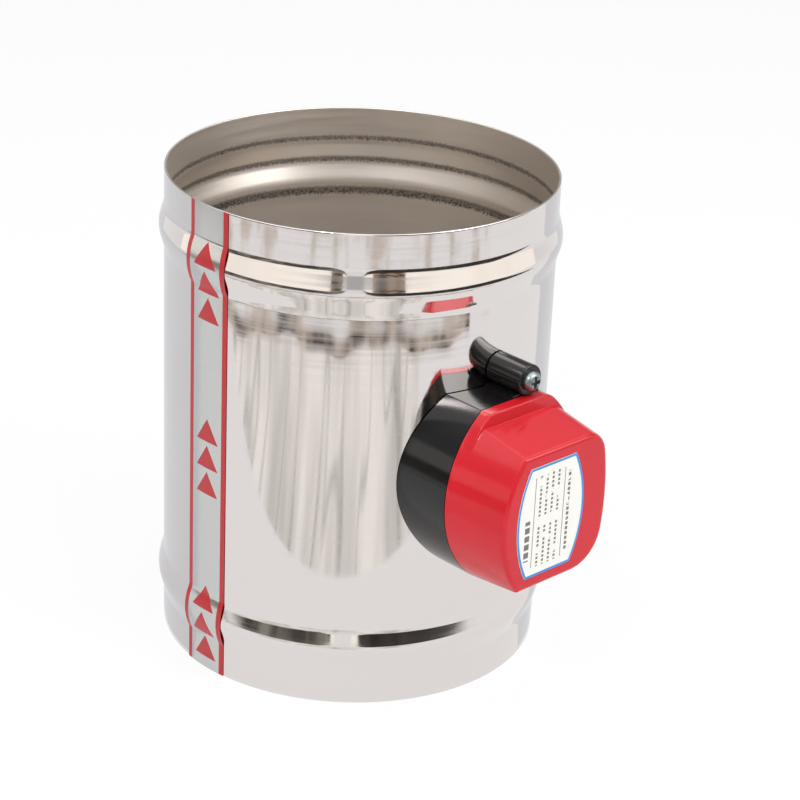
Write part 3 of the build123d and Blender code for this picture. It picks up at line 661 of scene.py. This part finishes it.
def label_film(label, cover):
    """White polyester label: a satin film printed with grey rules and columns of dashes."""
    made, tree = blank("white_label_film")
    place = node(tree, "TexCoord").outputs["Object"]
    moved = node(tree, "VectorMath", {0: place, 1: (0.0, label.across, cover.front_up)},
                 operation="SUBTRACT")
    part = node(tree, "SeparateXYZ", {0: moved}).outputs
    turned = node(tree, "CombineXYZ", {"X": part["Z"], "Y": part["Y"]})
    words = node(tree, "TexNoise", {"Vector": turned, "Scale": per_metre(5.0), "Detail": 1.0})
    ink = 0.0
    for across, half_across, up, half_up, dash, gap, cut in LABEL_COLUMNS_MM:
        inside = node(tree, "Math", {0: part["Y"], 1: across * MM, 2: half_across * MM},
                      operation="COMPARE")
        level = node(tree, "Math", {0: part["Z"], 1: up * MM, 2: half_up * MM}, operation="COMPARE")
        inside = node(tree, "Math", {0: inside, 1: level}, operation="MULTIPLY")
        along = node(tree, "Math", {0: part["Z"], 1: (dash + gap) * MM}, operation="FLOORED_MODULO")
        printed = node(tree, "Math", {0: along, 1: dash * MM}, operation="LESS_THAN")
        inside = node(tree, "Math", {0: inside, 1: printed}, operation="MULTIPLY")
        kept = node(tree, "Math", {0: words, 1: cut}, operation="GREATER_THAN")
        inside = node(tree, "Math", {0: inside, 1: kept}, operation="MULTIPLY")
        ink = node(tree, "Math", {0: ink, 1: inside}, operation="MAXIMUM")
    fibre = node(tree, "TexNoise", {"Vector": place, "Scale": per_metre(6.0), "Detail": 4.0})
    paint = node(tree, "Mix", {FACTOR: fibre, FIRST: shaded(label.film, 0.93), SECOND: label.film},
                 data_type="RGBA").outputs[MIXED]
    paint = node(tree, "Mix", {FACTOR: ink, FIRST: paint, SECOND: label.grey},
                 data_type="RGBA").outputs[MIXED]
    relief = node(tree, "Bump", {"Height": fibre, "Distance": 0.01 * MM})
    finish_shader(tree, Base_Color=paint, Roughness=0.35, Normal=relief)
    return made


# Pieces

def drill(piece, tube):
    """Cuts the shaft holes through both sides of the tube and the screw holes through one."""
    cutters = []
    for radius, depth, middle in (
            (tube.shaft_hole, 2 * tube.diameter, (0.0, 0.0, tube.height / 2)),
            (tube.screw_hole, tube.diameter, (tube.diameter / 2, tube.screw_across, tube.screw_high)),
            (tube.screw_hole, tube.diameter, (tube.diameter / 2, tube.screw_across, tube.screw_low))):
        cutters.append(begin("drill", bpy.ops.mesh.primitive_cylinder_add, vertices=48, radius=radius,
                             depth=depth, location=middle, rotation=(0.0, math.pi / 2, 0.0)))
    for cutter in cutters:
        cutter.select_set(True)
    bpy.ops.object.join()
    tool = bpy.context.object
    apply_modifier(piece, "BOOLEAN", object=tool, operation="DIFFERENCE", solver="EXACT")
    bpy.data.objects.remove(tool)


def dress(material, *names):
    """Gives CAD nodes a material."""
    for name in names:
        slots = bpy.data.objects[name].data.materials
        slots.clear()
        slots.append(material)


class DAMPER_OT_tube(bpy.types.Operator):
    """Spin the tube from its beaded wall and cut the holes for shaft and screws"""
    bl_idname = "damper.tube"
    bl_label = "Rolled Tube"

    def execute(self, context):
        tube = context.scene.damper_tube
        piece = extruded_line("rolled_tube", wall_section(tube))
        bpy.ops.mesh.select_all(action="SELECT")
        bpy.ops.mesh.spin(steps=tube.spin_steps, angle=2 * math.pi, center=(0, 0, 0), axis=(0, 0, 1))
        bpy.ops.mesh.select_all(action="SELECT")
        bpy.ops.mesh.remove_doubles(threshold=SLIVER)
        bpy.ops.mesh.normals_make_consistent(inside=False)
        bpy.ops.object.mode_set(mode="OBJECT")
        drill(piece, tube)
        piece.data.materials.append(polished_stainless(tube.outside))
        piece.data.materials.append(mill_stainless(tube))
        assign_faces(piece, 1, lambda spot, normal: normal.xy.dot(spot.xy) < -0.02 * spot.xy.length)
        smooth(piece, 35)
        apply_modifier(piece, "WEIGHTED_NORMAL", keep_sharp=True)
        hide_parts("duct_body")
        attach(piece, "root")
        return {"FINISHED"}


class DAMPER_OT_tape(bpy.types.Operator):
    """Print the flow direction tape"""
    bl_idname = "damper.tape"
    bl_label = "Flow Tape"

    def execute(self, context):
        dress(printed_film(context.scene.damper_tape), "flow_tape")
        return {"FINISHED"}


class DAMPER_OT_cover(bpy.types.Operator):
    """Loft the actuator cover with its lip, visor and rounded front"""
    bl_idname = "damper.cover"
    bl_label = "Actuator Cover"

    def execute(self, context):
        cover = context.scene.damper_cover
        piece = lofted("moulded_cover", cover_rings(cover))
        # Injection moulded ABS: an even red with clear, slightly soft highlights
        piece.data.materials.append(moulded("gloss_red_abs", cover.red, 0.14, 1.5, 0.004))
        smooth(piece, 40)
        apply_modifier(piece, "WEIGHTED_NORMAL", keep_sharp=True)
        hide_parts("actuator_cover")
        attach(piece, "root")
        return {"FINISHED"}


class DAMPER_OT_base(bpy.types.Operator):
    """Finish the black base and the rubber grommet and seal"""
    bl_idname = "damper.base"
    bl_label = "Actuator Base"

    def execute(self, context):
        # Injection moulded ABS: a deep black that mirrors what stands round it
        dress(moulded("gloss_black_abs", context.scene.damper_cover.black, 0.13, 1.5, 0.004),
              "actuator_base")
        # Moulded rubber: dull and dark, with hardly a highlight
        dress(moulded("black_rubber", linear("#1d1d1c"), 0.7, 0.6, 0.02), "cable_grommet", "blade_seal")
        return {"FINISHED"}


class DAMPER_OT_label(bpy.types.Operator):
    """Cut the rating label and print its border"""
    bl_idname = "damper.label"
    bl_label = "Rating Label"

    def execute(self, context):
        label = context.scene.damper_label
        cover = context.scene.damper_cover
        piece = lofted("printed_label", label_rings(label, cover))
        front = cover.front + label.stand + label.thickness
        piece.data.materials.append(label_film(label, cover))
        # Screen printed ink: a flat, satin blue
        piece.data.materials.append(moulded("blue_label_ink", label.blue, 0.3, 4.0, 0.004))
        smooth(piece, 30)
        assign_faces(piece, 1, lambda spot, normal: spot.x > front - SLIVER and (
            spot.yz - Vector((label.across, cover.front_up))).length > 0.2 * label.half_width)
        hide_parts("rating_label")
        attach(piece, "root")
        return {"FINISHED"}


class DAMPER_OT_fittings(bpy.types.Operator):
    """Finish the screws, bushings, washer and clip"""
    bl_idname = "damper.fittings"
    bl_label = "Fittings"

    def execute(self, context):
        # Zinc plated steel: a cool, faintly cloudy shine
        dress(metal("zinc_plated_steel", linear("#939a9d"), 0.33, 1.2), "mounting_screws", "motor_plate",
              "motor_screws", "switch_screws", "damper_shaft", "tail_washer", "shaft_saddles", "motor_shaft")
        # Turned brass: a warm yellow with fine rings
        dress(metal("turned_brass", linear("#c8a662"), 0.26, 0.5, (6.0, 0.4, 0.4)), "drive_bushing",
              "tail_bushing", "coupling_sleeve", "terminal_screws")
        # Phosphated spring steel: dark grey with a dim sheen
        dress(metal("phosphated_spring_steel", linear("#4a4a4c"), 0.42, 0.4), "tail_clip",
              "coupling_grub_screws")
        return {"FINISHED"}


class DAMPER_OT_blade(bpy.types.Operator):
    """Finish the blade discs and rivets"""
    bl_idname = "damper.blade"
    bl_label = "Blade"

    def execute(self, context):
        # Brushed stainless sheet: long hairlines that run with the shaft
        dress(metal("brushed_stainless_sheet", linear("#cbc6c0"), 0.34, 0.5, (0.03, 1.0, 1.0)),
              "blade_upper_disc", "blade_lower_disc")
        # Pressed aluminium: pale, with a soft sheen
        dress(metal("pressed_aluminium", linear("#d3d3d4"), 0.36, 0.8), "saddle_rivets")
        return {"FINISHED"}


class DAMPER_OT_drive(bpy.types.Operator):
    """Finish the motor, switches, cam and terminals"""
    bl_idname = "damper.drive"
    bl_label = "Drive"

    def execute(self, context):
        # Drawn and plated steel: an even, pale shine
        dress(metal("plated_motor_can", linear("#b4b6ba"), 0.34, 0.7), "gear_motor")
        # Moulded nylon: off white and satin
        dress(moulded("white_nylon", linear("#e6e3d8"), 0.45, 0.8, 0.01), "terminal_block")
        # Moulded phenolic: nearly black and almost matt
        dress(moulded("black_phenolic", linear("#242426"), 0.5, 0.8, 0.01), "closed_limit_switch",
              "open_limit_switch")
        # Machined acetal: cream and waxy
        dress(moulded("natural_acetal", linear("#e9e2cd"), 0.4, 0.8, 0.01), "closed_switch_plunger",
              "open_switch_plunger", "switch_cam")
        return {"FINISHED"}


# Studio

def painted_fold_drape():
    """White cotton drape card: soft folds that run away from the tube, with painted light on the folds and
    painted shade in the narrow grey creases between them, all carried in its glow.
    """
    made, tree = blank("white_drape")
    place = node(tree, "TexCoord").outputs["Object"]
    flat = node(tree, "VectorMath", {0: place, 1: (1.0, 1.0, 0.0)}, operation="MULTIPLY")
    turn = node(tree, "VectorMath", {0: flat}, operation="NORMALIZE")
    wander = node(tree, "VectorMath", {0: flat, 1: FOLD_WANDER, 2: turn}, operation="MULTIPLY_ADD")
    folds = node(tree, "TexNoise", {"Vector": wander, "Scale": FOLD_SCALE, "Detail": 3.0})
    crease = node(tree, "TexNoise", {"Vector": wander, "Scale": CREASE_SCALE, "Detail": 1.0})
    # Painted fold light and painted crease shade, both carried in the card's glow
    level = node(tree, "MapRange", {"Value": folds, "From Min": 0.34, "From Max": 0.62, "To Min": 0.74,
                                    "To Max": 1.1})
    off = node(tree, "Math", {0: crease, 1: 0.5}, operation="SUBTRACT")
    off = node(tree, "Math", {0: off}, operation="ABSOLUTE")
    crease_shade = node(tree, "MapRange", {"Value": off, "From Max": 0.03, "To Min": 0.68})
    glow = node(tree, "Math", {0: level, 1: crease_shade}, operation="MULTIPLY")
    light = node(tree, "Emission", {"Strength": glow, "Color": linear("#fffcf7")})
    node(tree, "OutputMaterial", {"Surface": light})
    return made


def mottled_card(name, dark, light, patch_mm, low, high, strength=1.0):
    """Studio card: a light ground with soft darker patches."""
    made, tree = blank(name)
    place = node(tree, "TexCoord").outputs["Object"]
    noise = node(tree, "TexNoise", {"Vector": place, "Scale": per_metre(patch_mm), "Detail": 3.0})
    share = node(tree, "MapRange", {"Value": noise, "From Min": low, "From Max": high})
    tint = node(tree, "Mix", {FACTOR: share, FIRST: linear(light), SECOND: linear(dark)},
                data_type="RGBA").outputs[MIXED]
    glow = node(tree, "Emission", {"Color": tint, "Strength": strength})
    node(tree, "OutputMaterial", {"Surface": glow})
    return made


def seen_rays(tree):
    """One for camera, mirror and glass rays, nought for the rest."""
    path = node(tree, "LightPath").outputs
    mirrored = node(tree, "Math", {0: path["Is Camera Ray"], 1: path["Is Glossy Ray"]}, operation="MAXIMUM")
    return node(tree, "Math", {0: mirrored, 1: path["Is Transmission Ray"]}, operation="MAXIMUM")


def studio_white():
    """White paper floor: seen as white, and it still takes the object's shadow."""
    made, tree = blank("white_paper")
    seen = seen_rays(tree)
    share = node(tree, "Math", {0: seen, 1: FLOOR_GLOW}, operation="MULTIPLY")
    paper = node(tree, "BsdfDiffuse", {"Color": linear("#f7f7f7")})
    glow = node(tree, "Emission", {"Strength": 1.0})
    mixed = node(tree, "MixShader", {0: share, 1: paper, 2: glow})
    node(tree, "OutputMaterial", {"Surface": mixed})
    return made


def surround(scene, stage):
    """Surroundings that the camera sees as white, that are dimmer in mirrors, and that light softly."""
    world = bpy.data.worlds.new("studio")
    world.use_nodes = True
    tree = world.node_tree
    tree.nodes.clear()
    path = node(tree, "LightPath").outputs
    look = node(tree, "TexCoord").outputs["Generated"]
    rise = node(tree, "SeparateXYZ", {0: look}).outputs["Z"]
    low = node(tree, "MapRange", {"Value": rise, "From Min": 0.05, "From Max": 0.22, "To Min": 1.0,
                                  "To Max": stage.horizon})
    dome = node(tree, "MapRange", {"Value": rise, "From Min": 0.4, "From Max": 0.7, "To Min": low,
                                   "To Max": stage.overhead})
    level = node(tree, "Math", {0: dome, 1: path["Is Camera Ray"]}, operation="MAXIMUM")
    soft = node(tree, "Background", {"Strength": stage.ambient})
    white = node(tree, "Background", {"Color": linear("#ffffff"), "Strength": level})
    mixed = node(tree, "MixShader", {0: seen_rays(tree), 1: soft, 2: white})
    node(tree, "OutputWorld", {"Surface": mixed})
    scene.world = world


def card(name, material, front, start, end, near, far):
    """A reflector that only mirrors see: a grid bent round the tube from its near to its far edge."""
    piece = begin(name, bpy.ops.mesh.primitive_grid_add, x_subdivisions=120, y_subdivisions=2, size=1.0)
    bpy.ops.object.mode_set(mode="EDIT")
    mesh = bmesh.from_edit_mesh(piece.data)
    for vertex in mesh.verts:
        turn = math.radians(start + (end - start) * (vertex.co.x + 0.5))
        edges = [Vector((radius * math.cos(front + turn), radius * math.sin(front + turn), height))
                 for radius, height in (near(turn), far(turn))]
        vertex.co = edges[0].lerp(edges[1], vertex.co.y + 0.5) * MM
    bmesh.update_edit_mesh(piece.data)
    bpy.ops.object.mode_set(mode="OBJECT")
    piece.data.materials.append(material)
    piece.visible_camera = False
    piece.visible_diffuse = False
    piece.visible_shadow = False


def reflectors(stage, tube):
    """The cards that the polished tube mirrors."""
    front = stage.azimuth - math.pi / 2
    radius = tube.diameter / 2 / MM

    def drape_far(turn):
        return DRAPE_FAR_MM + 9.0 * math.sin(7.0 * turn) + 5.0 * math.sin(19.0 * turn + 1.0)

    def back_far(turn):
        """Radius of the far edge that the tube mirrors as an upright line."""
        off = min(-turn, 2 * math.pi + turn)
        edge = BACK_TURNS[0 if off == -turn else 1]
        leaving = 2 * edge - off
        far = radius * math.sin(edge) / math.sin(leaving) if leaving > 0.1 else BACK_FAR_MM
        return min(BACK_FAR_MM, far)

    card("drape_card", painted_fold_drape(), front, -70.5, 33.0,
         lambda turn: (DRAPE_NEAR_MM / (math.cos(turn) - DRAPE_SKEW * math.sin(turn)), 2.0),
         lambda turn: (drape_far(turn), 2.0))
    card("edge_card", mottled_card(*TABLE_EDGE), front, -78.0, 62.0,
         lambda turn: (drape_far(turn), 3.0), lambda turn: (drape_far(turn) + EDGE_WIDTH_MM, 3.0))
    card("back_card", mottled_card(*GREY_CARD), front,
         -math.degrees(BACK_TURNS[0]), math.degrees(BACK_TURNS[1]) - 360.0,
         lambda turn: (radius + BACK_GAP_MM, 1.0), lambda turn: (back_far(turn), 1.0))
    card("paper_card", mottled_card(*PAPER), front, -100.0, 75.0,
         lambda turn: (drape_far(turn) + EDGE_WIDTH_MM, 1.5), lambda turn: (PAPER_FAR_MM, 1.5))
    for index, (finish, start, end) in enumerate(FLAGS):
        outer, inner = math.radians(start), math.radians(end)

        def tip(turn):
            """From nought to one towards the inner end, as a quarter of an ellipse."""
            share = max(0.0, 1.0 - abs(turn - inner) / FLAG_TIP_TURN)
            return 1.0 - math.sqrt(1.0 - share ** 2)

        def top(turn):
            return min(FLAG_TOP_MM, FLAG_SLOPE_MM * abs(turn - outer)) + FLAG_TIP_MM[1] * tip(turn)

        card(f"flag_card_{index}", mottled_card(*finish), front, start, end,
             lambda turn: (FLAG_RADIUS_MM, FLAG_TIP_MM[0] * tip(turn)),
             lambda turn: (FLAG_RADIUS_MM, top(turn)))
    for name, (finish, start, end, away, bottom, height) in UPRIGHT_CARDS.items():
        card(name, mottled_card(*finish), front, start, end,
             lambda turn: (away, bottom), lambda turn: (away, height))


def photo_camera(scene, stage):
    """A camera that sees its target at a picture column and row, turned about its own axis."""
    turned = Matrix.Rotation(stage.azimuth, 3, "Z")
    back = turned @ Vector((0.0, -math.cos(stage.elevation), math.sin(stage.elevation)))
    right = turned @ Vector((1.0, 0.0, 0.0))
    forward = -back
    up = right.cross(forward)
    focal = stage.lens / (SENSOR * MM) * PICTURE
    yaw = Matrix.Rotation(math.atan2(stage.target_x - PICTURE / 2, focal), 3, up)
    right, forward = yaw @ right, yaw @ forward
    pitch = Matrix.Rotation(math.atan2(stage.target_y - PICTURE / 2, focal), 3, right)
    forward, up = pitch @ forward, pitch @ up
    rolled = Matrix.Rotation(stage.roll, 3, -forward)
    right, up = rolled @ right, rolled @ up
    camera = bpy.data.cameras.new("photo_camera")
    camera.sensor_width = SENSOR
    camera.lens = stage.lens / MM
    viewer = bpy.data.objects.new("photo_camera", camera)
    facing = Matrix((right, up, -forward)).transposed().to_4x4()
    facing.translation = Vector((0.0, 0.0, stage.target)) + stage.distance * back
    viewer.matrix_world = facing
    scene.collection.objects.link(viewer)
    scene.camera = viewer


def lamps(scene, stage):
    """Area lamps that stand round the tube and face it."""
    for name, (turn, rise, size) in LAMPS.items():
        lamp = bpy.data.lights.new(f"{name}_lamp", "AREA")
        lamp.size = size
        lamp.energy = getattr(stage, f"{name}_power")
        stand = bpy.data.objects.new(f"{name}_lamp", lamp)
        rise = math.radians(rise)
        turn = stage.azimuth - math.pi / 2 + math.radians(turn)
        stand.location = stage.lamp_distance * Vector((math.cos(rise) * math.cos(turn),
                                                       math.cos(rise) * math.sin(turn), math.sin(rise)))
        aim = Vector((0.0, 0.0, stage.target)) - stand.location
        stand.rotation_euler = aim.to_track_quat("-Z", "Y").to_euler()
        scene.collection.objects.link(stand)


class DAMPER_OT_stage(bpy.types.Operator):
    """Set the camera, floor, lamps and surroundings"""
    bl_idname = "damper.stage"
    bl_label = "Studio"

    def execute(self, context):
        scene = context.scene
        stage = scene.damper_stage
        scene.view_settings.view_transform = "Standard"
        photo_camera(scene, stage)
        floor = begin("studio_floor", bpy.ops.mesh.primitive_plane_add, size=stage.floor_size)
        floor.data.materials.append(studio_white())
        surround(scene, stage)
        reflectors(stage, scene.damper_tube)
        lamps(scene, stage)
        return {"FINISHED"}


class DAMPER_PT_panel(bpy.types.Panel):
    """Steps of the damper, in order"""
    bl_label = "Duct Damper"
    bl_space_type = "VIEW_3D"
    bl_region_type = "UI"
    bl_category = "Damper"

    def draw(self, context):
        for step in STEPS:
            self.layout.operator(step.bl_idname)


GROUPS = {"damper_tube": DamperTube, "damper_tape": DamperTape, "damper_cover": DamperCover,
          "damper_label": DamperLabel, "damper_stage": DamperStage}
STEPS = (DAMPER_OT_tube, DAMPER_OT_tape, DAMPER_OT_cover, DAMPER_OT_base, DAMPER_OT_label,
         DAMPER_OT_fittings, DAMPER_OT_blade, DAMPER_OT_drive, DAMPER_OT_stage)


def register():
    for kind in (*GROUPS.values(), *STEPS, DAMPER_PT_panel):
        bpy.utils.register_class(kind)
    for name, group in GROUPS.items():
        setattr(bpy.types.Scene, name, PointerProperty(type=group))


def unregister():
    for name in GROUPS:
        delattr(bpy.types.Scene, name)
    for kind in (DAMPER_PT_panel, *reversed(STEPS), *GROUPS.values()):
        bpy.utils.unregister_class(kind)


def main():
    register()
    bpy.ops.damper.tube()
    bpy.ops.damper.tape()
    bpy.ops.damper.cover()
    bpy.ops.damper.base()
    bpy.ops.damper.label()
    bpy.ops.damper.fittings()
    bpy.ops.damper.blade()
    bpy.ops.damper.drive()
    bpy.ops.damper.stage()


if __name__ == "__main__":
    main()
